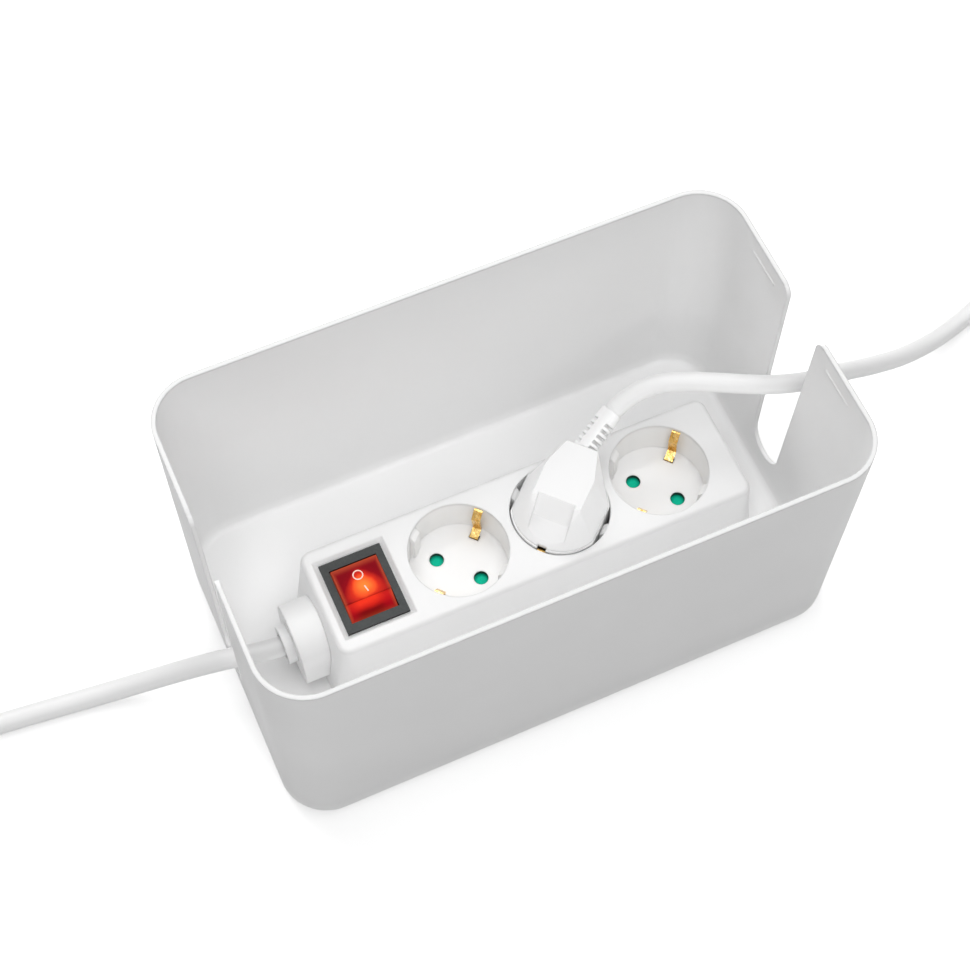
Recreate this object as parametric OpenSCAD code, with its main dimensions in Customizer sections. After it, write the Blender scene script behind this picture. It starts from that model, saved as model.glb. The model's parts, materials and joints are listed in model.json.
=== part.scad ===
// Cable management box: an open tray with a three-way switched socket strip inside,
// one plug in its middle socket, and two leads that leave through the end slots.
// Millimetres, +Z up. The origin is under the middle of the tray, at the tips of its feet.

/* [Tray] */
// Outside length at the rim
tray_l = 233; // [215:1:280]
// Outside depth at the rim
tray_d = 132.5; // [110:0.5:170]
// Height from the tips of the feet to the rim
tray_h = 123; // [95:1:150]
// Wall thickness
tray_wall = 1.8; // [1.4:0.1:2.4]
// Floor thickness
tray_floor = 2.2; // [1.6:0.1:3]
// How far each wall leans in from the rim to the floor
tray_draft = 0.8; // [0.4:0.1:2]
// Plan radius of the corners at the rim
tray_corner = 19.5; // [12:0.5:30]
// Outside radius where the walls meet the floor
tray_edge = 4; // [3:0.5:6]
// Width of the cord slots
slot_w = 19.5; // [14:0.5:24]
// Width of the cord slots at the rim
slot_mouth_w = 22.5; // [20:0.5:30]
// Height of the lowest point of the cord slots
slot_low = 17.5; // [12:0.5:40]
// Radius of the slot corners at the rim
slot_lip_r = 5; // [3:0.5:8]
// How far below the rim the snap beads lie
bead_drop = 8; // [5:0.5:12]
// How far the snap beads stand out of the wall
bead_stand = 0.3; // [0.2:0.1:0.9]
// Length of a snap bead
bead_l = 16; // [8:1:24]
// Distance of a snap bead's middle from the slot's middle
bead_y = 28; // [24:1:34]

/* [Feet] */
// Diameter of a foot
foot_d = 12; // [8:0.5:16]
// How far a foot stands below the tray
foot_proud = 1; // [0.6:0.1:2]
// Depth of the foot's pocket in the tray
foot_sink = 0.6; // [0.4:0.1:1]
// Distance of a foot's middle from the outside of the tray at the rim
foot_inset = 26; // [20:1:35]

/* [Socket strip] */
// Length of the strip at its top
strip_l = 172.7; // [170:0.5:190]
// Width of the strip at its top
strip_w = 45.8; // [44.5:0.1:56]
// Height of the strip
strip_h = 42; // [40:0.5:50]
// How far each wall leans in over the height
strip_draft = 4.6; // [2:0.1:6]
// Plan radius of the strip's corners at its top
strip_corner = 4.5; // [4:0.5:10]
// Radius of the edge round the top
strip_edge = 2; // [1.5:0.1:2.2]
// Wall thickness of the strip's housing
strip_wall = 2.2; // [1.8:0.1:2.6]
// Middle of the strip along the tray
strip_x = 6.9; // [0:0.1:10]
// Middle of the strip across the tray
strip_y = -1.7; // [-6:0.1:6]
// Height of the joint between the housing and the base
parting_h = 7; // [6.5:0.1:10]
// Thickness of the base plate
base_t = 2; // [1.6:0.1:2.6]
// Height of the tongue that stands from the base into the housing
tongue_h = 2.5; // [1.5:0.1:4]
// Thickness of that tongue
tongue_t = 1.2; // [0.8:0.1:1.6]
// Distance of the end screws from the top's ends
screw_inset_x = 7.4; // [6.8:0.1:9]
// Distance of the screws from the strip's middle line
screw_y = 17; // [16.5:0.1:17.5]
// Diameter of a screw pillar
pillar_d = 6.4; // [5.6:0.1:7]
// Shank diameter of a housing screw
screw_d = 2.9; // [2.5:0.1:3.1]
// Shank length of a housing screw
screw_l = 11; // [9:0.5:12]

/* [Sockets] */
// Distance between neighbouring sockets
socket_pitch = 42.8; // [42.5:0.1:46]
// Distance of the middle socket from the middle of the strip
socket_shift = 13.8; // [10:0.1:15]
// Turn of the pin holes away from the strip's length
socket_turn = 47.5; // [35:0.5:55]
// Inside diameter of a socket well
well_d = 39.2; // [38.8:0.1:39.6]
// Depth of a socket well
well_depth = 17.5; // [17:0.1:18.5]
// Wall thickness of a socket well
well_wall = 1.6; // [1.2:0.1:1.8]
// Distance between the pin holes
pin_pitch = 19; // [18.8:0.1:19.2]
// Diameter of a pin hole
pin_hole_d = 5.8; // [5.4:0.1:6.2]
// Width of a guide rib
rib_w = 5; // [4:0.1:6]
// How far a guide rib stands into the well
rib_stand = 2.1; // [1.5:0.1:2.3]
// Distance of a guide rib's top from the strip's top
rib_drop = 1.6; // [1.4:0.1:5]
// Width of an earth clip
clip_w = 3.5; // [3:0.1:5]
// Sheet thickness of the metal parts
sheet_t = 0.8; // [0.6:0.1:1]
// Height of a contact sleeve
sleeve_h = 12.2; // [9:0.1:12.5]

/* [Shutters] */
// Diameter of a shutter
shutter_d = 26.4; // [25.8:0.2:30]
// Thickness of a shutter
shutter_t = 1.8; // [1.4:0.1:2]
// Diameter of the windows that let the pins through
window_d = 6.4; // [6:0.1:7]
// Turn that opens a shutter
shutter_turn = 40; // [38:1:44]
// Diameter of the boss that carries a shutter
boss_d = 4; // [3.4:0.1:4.6]
// Wire of the return spring
spring_wire = 1.1; // [0.8:0.1:1.2]
// Thickness of the cap that holds a shutter on its boss
cap_t = 0.6; // [0.5:0.1:0.8]

/* [Switch] */
// Distance of the switch from the middle of the strip
switch_back = 68.2; // [68:0.1:69]
// Length of the bezel along the strip
bezel_x = 25.2; // [25:0.1:26.2]
// Length of the bezel across the strip
bezel_y = 30.7; // [30:0.1:31]
// Thickness of the bezel
bezel_t = 1.2; // [1:0.1:1.4]
// Depth of the recess that holds the bezel
recess_depth = 2; // [1.8:0.1:2.4]
// Length of the recess at the strip's top, along the strip
recess_x = 29.4; // [28.6:0.1:30.3]
// Length of the recess at the strip's top, across the strip
recess_y = 34.8; // [34:0.1:35]
// Width of the rocker
rocker_w = 18.7; // [17:0.1:19]
// Radius of the rocker's ends about its pivot
rocker_r = 11.5; // [10.5:0.1:11.7]
// Depth of the pivot below the top of the bezel
pivot_drop = 3; // [2.8:0.1:3.4]
// Tilt of the rocker from on to off
rocker_tilt = 18; // [14:1:20]
// Depth of the switch body below the bezel
switch_depth = 18; // [16:0.5:19]
// Wall of the switch body
switch_wall = 1.2; // [1:0.1:1.3]

/* [Gland] */
// Height of the lead's axis above the tray floor
gland_z = 18.8; // [17.5:0.1:21]
// Distance of the collar's face from the middle of the strip
gland_face = 99.6; // [97:0.1:102]
// Width of the collar, and diameter of its round top
collar_w = 29; // [26:0.5:32]
// Height of the collar's top above the lead's axis
collar_top = 15.5; // [14.5:0.5:17]
// Depth of the collar's bottom below the lead's axis
collar_low = 16; // [14:0.5:17.5]
// Bevel of the collar's lower corners
collar_bevel = 6; // [3:0.5:8]
// Outside diameter of the gland's ring
ring_d = 15.4; // [13:0.1:18]
// How far the ring stands out of the collar
ring_stand = 3.8; // [2:0.1:5]

/* [Leads] */
// Diameter of the mains lead
mains_d = 8.2; // [8:0.1:8.4]
// Diameter of the appliance lead
lead_d = 7.6; // [7.4:0.1:7.8]

/* [Plug] */
// Diameter of the plug's base
plug_d = 38.5; // [37:0.1:38.6]
// Distance between the plug's flats
plug_flats = 34.4; // [33:0.1:34.6]
// Diameter of a plug pin
pin_d = 4.8; // [4.6:0.1:4.8]
// Length of a plug pin
pin_l = 19; // [18:0.1:19]
// Height of the plug's top above the strip's top
plug_top = 17.1; // [15:0.1:20]
// Width of the earth grooves
groove_w = 6.4; // [6:0.1:7]
// Distance of the groove's bottom from the plug's axis
groove_r = 15; // [14.5:0.1:15]
// Width of the notch where a groove meets the plug's rim
notch_w = 3.6; // [3:0.1:5]
// Depth of that notch
notch_depth = 1.5; // [0.8:0.1:2]
// Diameter of the strain relief where it leaves the plug
relief_d = 9.5; // [9:0.1:10]
// Diameter of the strain relief at its end
relief_tip_d = 8.8; // [8.6:0.1:9]

/* [Lead ends] */
// Diameter of the mains plug
end_plug_d = 37; // [35:0.5:38]
// Length of the mains plug's body
end_plug_l = 44; // [40:1:50]
// Length of the mains plug's strain relief
end_relief_l = 32; // [24:1:44]
// Width of the appliance connector
conn_w = 20; // [19:0.1:22]
// Height of the appliance connector
conn_h = 15.5; // [15:0.1:17]
// Length of the appliance connector
conn_l = 31; // [28:0.5:36]
// Length of a contact in the appliance connector
contact_l = 14; // [10:0.5:16]
// Depth of the contacts below the connector's face
contact_sink = 7; // [5:0.5:9]
// Length of the appliance connector's strain relief
conn_relief_l = 26; // [22:1:36]

/* [Hidden] */
$fn = 64;

// clearances and laps
part_gap = 0.1;      // between fixed pieces that slide into one another
press_gap = 0.02;    // round a pressed or screwed piece
pivot_gap = 0.05;    // round a pivot
move_gap = 0.3;      // between faces that pass one another
lap = 0.5;           // how far a boss is sunk into the wall that carries it
over = 1;            // how far a cutter runs past the face that it opens

// tray
tray_slope = tray_draft / (tray_h - foot_proud);
floor_top = foot_proud + tray_floor;
bead_r = 1;

// strip, measured from the tray floor
strip_slope = strip_draft / strip_h;
base_l = strip_l + 2 * strip_draft;
base_w = strip_w + 2 * strip_draft;
base_corner = strip_corner + strip_draft;
end_in = base_l / 2 - strip_wall - strip_slope * gland_z;

// sockets, measured from the tray floor
well_r = well_d / 2;
well_floor = strip_h - well_depth;
well_under = well_floor - strip_wall;
pin_r = pin_pitch / 2;
socket_x = [for (i = [-1:1]) socket_shift + i * socket_pitch];
clip_exit = 14.2;

// shutters
shutter_top = well_under - 0.2;
shutter_low = shutter_top - shutter_t;
spring_top = shutter_low - 0.2;
spring_low = spring_top - 2 * spring_wire + 0.2;
cap_top = spring_low - 0.2;
boss_tip = cap_top - cap_t - 0.2;

// metal rails, just under the tips of the pins
pin_dx = pin_r * cos(socket_turn);
pin_dy = pin_r * sin(socket_turn);
pin_room = 1.7;
rail_z = max(base_t + pin_room, well_floor - pin_l - pin_room);
rail_w = 6;
rail_start = -switch_back + 10;
sleeve_in = pin_d / 2 + pivot_gap;
sleeve_out = sleeve_in + 0.95;
earth_z = rail_z + 5;
earth_w = 4.6;

// switch, measured from the tray floor
bezel_low = strip_h - recess_depth;
bezel_top = bezel_low + bezel_t;
pivot_z = bezel_top - pivot_drop;
window_x = rocker_w + 2 * move_gap;
window_y = 2 * rocker_r + 0.5;
body_x = window_x + 2 * (switch_wall - 0.05);
body_y = window_y + 1.1 + 2 * switch_wall;
stub_d = 3;
press_angle = 1.5;
blade_y = [-8, 0, 8];
blade_w = 4.8;
core_d = 2.2;
lamp_d = 3.6;

// screws
screw_x = [-strip_l / 2 + screw_inset_x, (socket_x[0] + socket_x[1]) / 2, strip_l / 2 - screw_inset_x];
screw_spots = [for (x = screw_x, y = [-screw_y, screw_y]) [x, y]];
boss_top = parting_h - 2.5;
head_d = 5.6;
head_h = 1.8;
head_room = 2.4;

// gland
clamp_l = 3;
clamp_y = 8;
clamp_t = mains_d / 2 + 3;
clamp_top = gland_z + clamp_t;
clamp_head_d = 4.2;
clamp_head_t = 1.6;
clamp_x = -end_in + strip_slope * (clamp_t + clamp_head_t) + move_gap + clamp_head_d / 2;

// plugs
pin_tip = 1.2;
pin_neck = 0.3;
pin_root = 9;
pin_root_d = 3.4;
plug_face = well_floor + 0.1;
plug_rim = strip_h + 1;
plug_roof = strip_h + plug_top;
nose_x = 20.5;
nose_h = 9.8;
hollow_w = 15;
relief_root = [nose_x - 3, 0.7, plug_roof - 5.9];
relief_tip = [37.6, -5.2, plug_roof + 2.2];

// leads: the routes are points on the cords' middle lines
mains_axis = floor_top + gland_z;
mains_route = [[-75.2, strip_y, mains_axis], [-85, strip_y, mains_axis], [-97, strip_y, mains_axis],
    [-105, -1, 22.3], [-113, 0.6, 22.6], [-122, 3, 20.8], [-133, 6.4, 16.3], [-146, 10.2, 10.8],
    [-160, 13.5, 6.4], [-174, 15.8, 4.5], [-188, 17.5, 4.2], [-205, 19.3, 4.2], [-225, 20.9, 4.2],
    [-243, 22.3, 4.2], [-255.5, 22.9, 4.2]];
mains_coil_at = [-285, -29.3];
mains_turn_r = [36, 52.3];
mains_tail = [[-314.5, 23, 12.4], [-318, 23, 12.9], [-324, 23, 15], [-330, 23, 17.4], [-335, 23, 18.6],
    [-339, 23, 18.6]];
lead_route = [[52, 19.9, 64.5], [53.7, 20.7, 65.2], [57.8, 21.3, 67.6], [61, 21.4, 69.2], [64.5, 21.3, 70.5],
    [68.5, 20.5, 72], [72.7, 19.2, 73.3], [77, 17.3, 74.2], [81.4, 15, 74.9], [86.5, 12.3, 75.3],
    [92.2, 9.6, 75.3], [96.7, 7.5, 74.8]];
lead_run = [[96.95, 7.38, 74.77], [101.45, 5.28, 74.27], [105.8, 4.1, 72.8], [111.5, 2.9, 70.9],
    [117.3, 2.1, 68.7], [126.8, 2.1, 64], [137.8, 4.1, 57.4], [152, 7.4, 46.7], [166.9, 11.1, 34.5],
    [187.1, 16.2, 20], [199.9, 19.7, 13], [211.8, 23.1, 8.3], [225.9, 27.8, 4.9], [236, 31.3, 3.9],
    [244, 33.8, 3.9]];
lead_coil_at = [276, -12.3];
lead_turn_r = [34, 49.1];
lead_tail = [[303.4, 36.8, 11.4], [307, 36.8, 11], [312, 36.8, 9.4], [317, 36.8, 8], [321, 36.8, 7.8],
    [325, 36.8, 7.8]];

// ---- shapes that repeat ----

// Half outline of a block with leaning walls and a rounded upper edge.
module drafted_edge(h, reach, slope, edge, past) {
    lean = atan(slope);
    cx = reach - slope * (h - edge) - edge / cos(lean);
    cz = h - edge;
    polygon([
        [0, -past],
        [reach + slope * past, -past],
        [cx + edge * cos(lean), cz + edge * sin(lean)],
        [cx, cz],
        [cx, h],
        [0, h]]);
    intersection() {
        translate([cx, cz])
            circle(edge);
        translate([max(cx - edge, 0), 0])
            square([2 * edge, h]);
    }
}

// The block's walls along one pair of sides.
module drafted_walls(l, d, h, corner, slope, edge, past) {
    run = l / 2 - corner;
    rotate([90, 0, 0])
        linear_extrude(d - 2 * corner, center = true) {
            for (side = [0, 1])
                mirror([side, 0])
                    translate([run, 0])
                        drafted_edge(h, corner, slope, edge, past);
            translate([-run, -past])
                square([2 * run, h + past]);
        }
}

// A block with leaning walls, wide at z = 0, with round plan corners and a rounded upper edge.
module drafted_block(l, d, h, corner, slope, edge, past = 0) {
    for (sx = [0, 1], sy = [0, 1])
        mirror([sx, 0, 0])
            mirror([0, sy, 0])
                translate([l / 2 - corner, d / 2 - corner, 0])
                    rotate_extrude(angle = 90)
                        drafted_edge(h, corner, slope, edge, past);
    drafted_walls(l, d, h, corner, slope, edge, past);
    rotate(90)
        drafted_walls(d, l, h, corner, slope, edge, past);
}

// A pit with sloped walls, from its floor at z = 0 up.
module sloped_pit(bottom, top, depth) {
    grow = (top - bottom) / 2 / depth;
    for_top = bottom / 2 + grow * (depth + over);
    intersection() {
        rotate([90, 0, 0])
            linear_extrude(2 * top[1], center = true)
                polygon([[-bottom[0] / 2, 0], [bottom[0] / 2, 0], [for_top[0], depth + over],
                    [-for_top[0], depth + over]]);
        rotate([90, 0, 90])
            linear_extrude(2 * top[0], center = true)
                polygon([[-bottom[1] / 2, 0], [bottom[1] / 2, 0], [for_top[1], depth + over],
                    [-for_top[1], depth + over]]);
    }
}

// A cylinder along X from x0 to x1.
module rod_x(x0, x1, d) {
    translate([x0, 0, 0])
        rotate([0, 90, 0])
            cylinder(h = x1 - x0, d = d);
}

// A block centred on X and Y, from z0 to z1.
module slab(x, y, z0, z1) {
    translate([-x / 2, -y / 2, z0])
        cube([x, y, z1 - z0]);
}

// A pan-headed screw that points up, its head's underside at z = 0.
module screw_up(shank_d, shank_l, head, head_t) {
    cylinder(h = shank_l, d = shank_d);
    translate([0, 0, -head_t])
        cylinder(h = head_t, d = head);
}

// ---- sweeping a cord along a route ----

// Direction of the route at point i.
function heading(p, i) =
    let (a = p[max(i - 1, 0)], b = p[min(i + 1, len(p) - 1)])
    (b - a) / norm(b - a);

// Ring of points round the route at point i.
function cord_ring(p, i, r, sides) =
    let (t = heading(p, i))
    let (side = cross(t, [0, 0, 1]))
    let (n = side / norm(side))
    let (b = cross(n, t))
    [for (k = [0:sides - 1]) p[i] + r * (cos(360 * k / sides) * n + sin(360 * k / sides) * b)];

// A cord of round section along the route's points.
module cord(p, d, sides = 10) {
    rings = len(p);
    points = [for (i = [0:rings - 1]) each cord_ring(p, i, d / 2, sides)];
    skin = [for (i = [0:rings - 2], k = [0:sides - 1])
        [i * sides + k, i * sides + (k + 1) % sides, (i + 1) * sides + (k + 1) % sides,
            (i + 1) * sides + k]];
    first = [for (k = [sides - 1:-1:0]) k];
    last = [for (k = [0:sides - 1]) (rings - 1) * sides + k];
    polyhedron(points, concat([first], skin, [last]), convexity = 6);
}

// The body of a flat coil that lies on the ground, two layers deep.
module coil(at, turns, d) {
    translate([at[0], at[1], 0])
        rotate_extrude()
            translate([turns[0] - d / 2, 0.1])
                square([turns[1] - turns[0] + d, 2 * d]);
}

// ---- tray ----

module tray_block(inset, bottom, edge, past) {
    translate([0, 0, tray_h])
        mirror([0, 0, 1])
            drafted_block(tray_l - 2 * inset, tray_d - 2 * inset, tray_h - bottom,
                tray_corner - inset, tray_slope, edge, past);
}

module slot_outline() {
    lip_z = tray_h - slot_lip_r;
    mid = slot_low + slot_w / 2;
    translate([0, mid])
        circle(d = slot_w);
    polygon([
        [-slot_w / 2, mid],
        [slot_w / 2, mid],
        [slot_mouth_w / 2, lip_z],
        [slot_mouth_w / 2, tray_h + over],
        [-slot_mouth_w / 2, tray_h + over],
        [-slot_mouth_w / 2, lip_z]]);
    for (side = [0, 1])
        mirror([side, 0])
            difference() {
                translate([slot_mouth_w / 2, lip_z])
                    square([slot_lip_r, slot_lip_r + over]);
                translate([slot_mouth_w / 2 + slot_lip_r, lip_z])
                    circle(slot_lip_r);
            }
}

module at_feet() {
    for (x = [-1, 1], y = [-1, 1])
        translate([x * (tray_l / 2 - foot_inset), y * (tray_d / 2 - foot_inset), 0])
            children();
}

module tray() {
    wall_x = tray_l / 2 - tray_wall - tray_slope * bead_drop;
    color("whitesmoke") {
        difference() {
            tray_block(0, foot_proud, tray_edge, 0);
            tray_block(tray_wall, floor_top, tray_edge - tray_wall, over);
            rotate([90, 0, 90])
                linear_extrude(tray_l + 2 * over, center = true)
                    slot_outline();
            at_feet()
                translate([0, 0, foot_proud - over])
                    cylinder(h = foot_sink + over, d = foot_d + part_gap);
        }
        for (x = [-1, 1], y = [-1, 1])
            translate([x * (wall_x - bead_stand + bead_r), y * bead_y, tray_h - bead_drop])
                rotate([90, 0, 0])
                    cylinder(h = bead_l, r = bead_r, center = true);
    }
}

module tray_feet() {
    bevel = foot_proud / 2;
    color("gainsboro")
        at_feet()
            rotate_extrude()
                polygon([
                    [0, 0],
                    [foot_d / 2 - bevel, 0],
                    [foot_d / 2, bevel],
                    [foot_d / 2, foot_proud + foot_sink],
                    [0, foot_proud + foot_sink]]);
}

// ---- socket strip ----

// Places a piece that is drawn about the middle of the strip, from the tray floor up.
module on_floor() {
    translate([strip_x, strip_y, floor_top])
        children();
}

// Places a piece at a socket, with +X toward the earth clip and +Y toward the left pin hole.
module at_socket(i) {
    translate([socket_x[i], 0, 0])
        rotate(90 - socket_turn)
            children();
}

module strip_outer(past = 0) {
    drafted_block(base_l, base_w, strip_h, base_corner, strip_slope, strip_edge, past);
}

module strip_inner(gap = 0) {
    inset = strip_wall + gap;
    drafted_block(base_l - 2 * inset, base_w - 2 * inset, strip_h - strip_wall, base_corner - inset,
        strip_slope, 1, over);
}

module between(low, high) {
    intersection() {
        children();
        slab(2 * base_l, 2 * base_w, low, high);
    }
}

module screw_pillars() {
    for (spot = screw_spots)
        translate([spot[0], spot[1], boss_top])
            cylinder(h = strip_h - strip_wall + lap - boss_top, d = pillar_d);
}

module well_cup() {
    translate([0, 0, well_under])
        cylinder(h = well_depth + strip_wall - over, r = well_r + well_wall);
    translate([0, 0, boss_tip])
        cylinder(h = well_under - boss_tip + lap, d = boss_d);
}

module well_cuts() {
    translate([0, 0, well_floor])
        cylinder(h = well_depth + over, r = well_r);
    for (side = [-1, 1]) {
        translate([0, side * pin_r, well_under - over])
            cylinder(h = strip_wall + 2 * over, d = pin_hole_d);
        translate([side * (clip_exit + 1), 0, 0])
            slab(2.4, clip_w + 0.6, well_under - over, well_floor + over);
    }
}

module guide_ribs() {
    top = strip_h - rib_drop;
    for (side = [0, 1])
        mirror([0, side, 0])
            rotate([90, 0, 90])
                linear_extrude(rib_w, center = true)
                    polygon([
                        [well_r - rib_stand, well_floor - lap],
                        [well_r + 0.8, well_floor - lap],
                        [well_r + 0.8, top + 1],
                        [well_r - 0.6, top],
                        [well_r - rib_stand, top - rib_stand]]);
}

module strip_housing() {
    pad_low = bezel_low - strip_wall;
    color("white")
        on_floor() {
            difference() {
                union() {
                    difference() {
                        between(parting_h, strip_h)
                            strip_outer();
                        strip_inner();
                    }
                    for (i = [0:2])
                        at_socket(i)
                            well_cup();
                    translate([-switch_back, 0, 0])
                        slab(recess_x + 2, recess_y + 2, pad_low, strip_h - strip_wall + lap);
                    screw_pillars();
                }
                for (i = [0:2])
                    at_socket(i)
                        well_cuts();
                translate([-switch_back, 0, bezel_low])
                    sloped_pit([bezel_x + 0.6, bezel_y + 0.6], [recess_x, recess_y], recess_depth);
                translate([-switch_back, 0, 0])
                    slab(body_x + 2 * part_gap, body_y + 2 * part_gap, pad_low - over, bezel_low + over);
                translate([0, 0, gland_z])
                    rod_x(-base_l, -end_in + over, 12 + 2 * part_gap);
                for (spot = screw_spots)
                    translate([spot[0], spot[1], boss_top - over])
                        cylinder(h = screw_l + 1 + over, d = screw_d + 2 * press_gap);
            }
            for (i = [0:2])
                at_socket(i)
                    guide_ribs();
        }
}

// Posts that carry the rails, between the sockets and beyond the last one.
module rail_posts() {
    spots = [rail_start + 6, screw_x[1], (socket_x[1] + socket_x[2]) / 2, socket_x[2] + 14];
    for (x = spots) {
        for (y = [-1, 1])
            if (x < socket_x[2])
                translate([x, y * pin_dy, 0])
                    slab(5, rail_w - 1, base_t - lap, rail_z);
        translate([x, 0, 0])
            slab(5, 2.4, base_t - lap, earth_z);
    }
}

module clamp_saddle() {
    translate([clamp_x, 0, 0])
        difference() {
            slab(clamp_l, 2 * clamp_y + 6, base_t - lap, gland_z);
            translate([0, 0, gland_z])
                rod_x(-clamp_l, clamp_l, mains_d + 2 * press_gap);
            for (y = [-1, 1])
                translate([0, y * clamp_y, gland_z - 8])
                    cylinder(h = 8 + over, d = 2.4 + 2 * press_gap);
        }
}

module strip_base() {
    color("white")
        on_floor() {
            difference() {
                union() {
                    between(0, base_t)
                        strip_outer();
                    difference() {
                        union() {
                            between(base_t - lap, parting_h)
                                strip_outer();
                            between(parting_h - lap, parting_h + tongue_h)
                                strip_inner(part_gap);
                        }
                        strip_inner(part_gap + tongue_t);
                    }
                    for (spot = screw_spots)
                        translate([spot[0], spot[1], 0])
                            cylinder(h = boss_top, d = pillar_d + 2.4);
                }
                for (spot = screw_spots)
                    translate([spot[0], spot[1], -over]) {
                        cylinder(h = head_room + over, d = head_d + 0.8);
                        cylinder(h = boss_top + 2 * over, d = screw_d + 0.5);
                    }
            }
            rail_posts();
            clamp_saddle();
        }
}

module base_screws() {
    color("silver")
        on_floor()
            for (spot = screw_spots)
                translate([spot[0], spot[1], head_room])
                    screw_up(screw_d, screw_l, head_d, head_h);
}

// ---- metal inside ----

// A sprung sleeve that grips a pin, open along one side.
module sleeve() {
    difference() {
        cylinder(h = sleeve_h, r = sleeve_out);
        translate([0, 0, -over])
            cylinder(h = sleeve_h + 2 * over, r = sleeve_in);
        translate([0, -0.5, sheet_t])
            cube([2 * sleeve_out, 1, sleeve_h]);
    }
}

module pin_rail(side) {
    last = socket_x[2] - side * pin_dx;
    on_floor()
        translate([0, side * pin_dy, rail_z]) {
            difference() {
                translate([rail_start, -rail_w / 2, 0])
                    cube([last + sleeve_out - rail_start, rail_w, sheet_t]);
                for (x = socket_x)
                    translate([x - side * pin_dx, 0, -over])
                        cylinder(h = 2 * over + sheet_t, r = sleeve_in);
            }
            for (x = socket_x)
                translate([x - side * pin_dx, 0, 0])
                    sleeve();
        }
}

module live_rail() {
    color("goldenrod")
        pin_rail(1);
}

module neutral_rail() {
    color("goldenrod")
        pin_rail(-1);
}

// Side view of an earth clip: up through the well's floor, out to its wall, in at the
// contact, and out again at the mouth.
module clip_outline() {
    inner = [
        [clip_exit, earth_z],
        [clip_exit, well_floor + 0.6],
        [well_r - 2, well_floor + 2.8],
        [groove_r + sheet_t + 0.2, well_floor + 12.4],
        [well_r - 1.1, well_floor + 16.4]];
    outer = [for (i = [len(inner) - 1:-1:0]) inner[i] + [sheet_t, i == 1 ? -0.5 : 0]];
    polygon(concat(inner, outer));
}

module earth_rail() {
    color("goldenrod")
        on_floor() {
            translate([rail_start + 3, -earth_w / 2, earth_z])
                cube([socket_x[2] + 17 - rail_start - 3, earth_w, sheet_t]);
            for (i = [0:2])
                at_socket(i)
                    for (side = [0, 1])
                        mirror([side, 0, 0]) {
                            translate([0, -clip_w / 2, earth_z])
                                cube([clip_exit + sheet_t, clip_w, sheet_t]);
                            rotate([90, 0, 0])
                                linear_extrude(clip_w, center = true)
                                    clip_outline();
                        }
        }
}

// ---- shutters ----

// A shutter as it lies when it covers the pin holes, or turned open.
module shutter(i, turn) {
    color("mediumseagreen")
        on_floor()
            at_socket(i)
                rotate(turn)
                    translate([0, 0, shutter_low])
                        difference() {
                            cylinder(h = shutter_t, d = shutter_d);
                            translate([0, 0, -over])
                                cylinder(h = shutter_t + 2 * over, d = boss_d + 2 * pivot_gap);
                            for (side = [90, 270])
                                rotate(side - shutter_turn)
                                    translate([pin_r, 0, -over])
                                        cylinder(h = shutter_t + 2 * over, d = window_d);
                        }
}

module shutter_1() {
    shutter(0, 0);
}

module shutter_2() {
    shutter(1, shutter_turn);
}

module shutter_3() {
    shutter(2, 0);
}

module shutter_springs() {
    color("lightgray")
        on_floor()
            for (i = [0:2])
                at_socket(i)
                    rotate_extrude()
                        for (k = [0, 1])
                            translate([boss_d / 2 + 0.3 + spring_wire / 2,
                                spring_low + spring_wire / 2 + k * (spring_wire - 0.2)])
                                circle(d = spring_wire);
}

module shutter_caps() {
    color("silver")
        on_floor()
            for (i = [0:2])
                at_socket(i)
                    translate([0, 0, cap_top - cap_t])
                        difference() {
                            cylinder(h = cap_t, d = boss_d + 3.4);
                            translate([0, 0, -over])
                                cylinder(h = cap_t + 2 * over, d = boss_d + 2 * press_gap);
                        }
}

// ---- switch ----

// Places a piece that is drawn about the middle of the switch.
module at_switch() {
    on_floor()
        translate([-switch_back, 0, 0])
            children();
}

module switch_frame() {
    low = bezel_low - switch_depth;
    color("dimgray")
        at_switch()
            difference() {
                union() {
                    slab(bezel_x, bezel_y, bezel_low, bezel_top);
                    slab(body_x, body_y, low, bezel_low + bezel_t / 2);
                }
                slab(window_x, window_y, low + 2 * switch_wall, bezel_top + over);
                slab(window_x, body_y - 2 * switch_wall, low + switch_wall, bezel_low);
                translate([0, 0, pivot_z])
                    rod_x(-body_x, body_x, stub_d + 2 * pivot_gap);
                for (y = blade_y)
                    translate([0, y, 0])
                        slab(sheet_t + 2 * press_gap, blade_w + 2 * press_gap, low - over,
                            low + 2 * switch_wall);
            }
}

module switch_terminals() {
    low = bezel_low - switch_depth;
    color("silver")
        at_switch()
            for (y = blade_y)
                translate([0, y, 0]) {
                    difference() {
                        slab(sheet_t, blade_w, low - 7, low + 5);
                        translate([0, 0, low - 4.5])
                            rod_x(-2, 2, 1.6);
                    }
                    slab(4, blade_w, low + 4.8, low + 5.6);
                }
}

// Side view of the rocker about its pivot, near side to the left, pressed on the near side.
// The tilt brings the far end as low as the near end lies now.
module rocker_outline() {
    reach = rocker_r + over;
    intersection() {
        circle(rocker_r);
        polygon([
            [-reach, -1.4],
            [-4, -4.6],
            [4, -4.6],
            [reach, -0.6],
            [reach, reach * tan(press_angle + rocker_tilt)],
            [-4.4, 4.6],
            [-4.4, 3.9],
            [-reach, reach * tan(press_angle)]]);
    }
}

module rocker() {
    color("red")
        at_switch()
            translate([0, 0, pivot_z]) {
                difference() {
                    rotate([90, 0, 90])
                        linear_extrude(rocker_w, center = true)
                            rocker_outline();
                    slab(13, lamp_d + 0.4, -6, lamp_d / 2 + 0.1);
                }
                for (side = [0, 1])
                    mirror([side, 0, 0])
                        rod_x(rocker_w / 2 - lap, body_x / 2 - 0.1, stub_d);
            }
}

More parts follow.
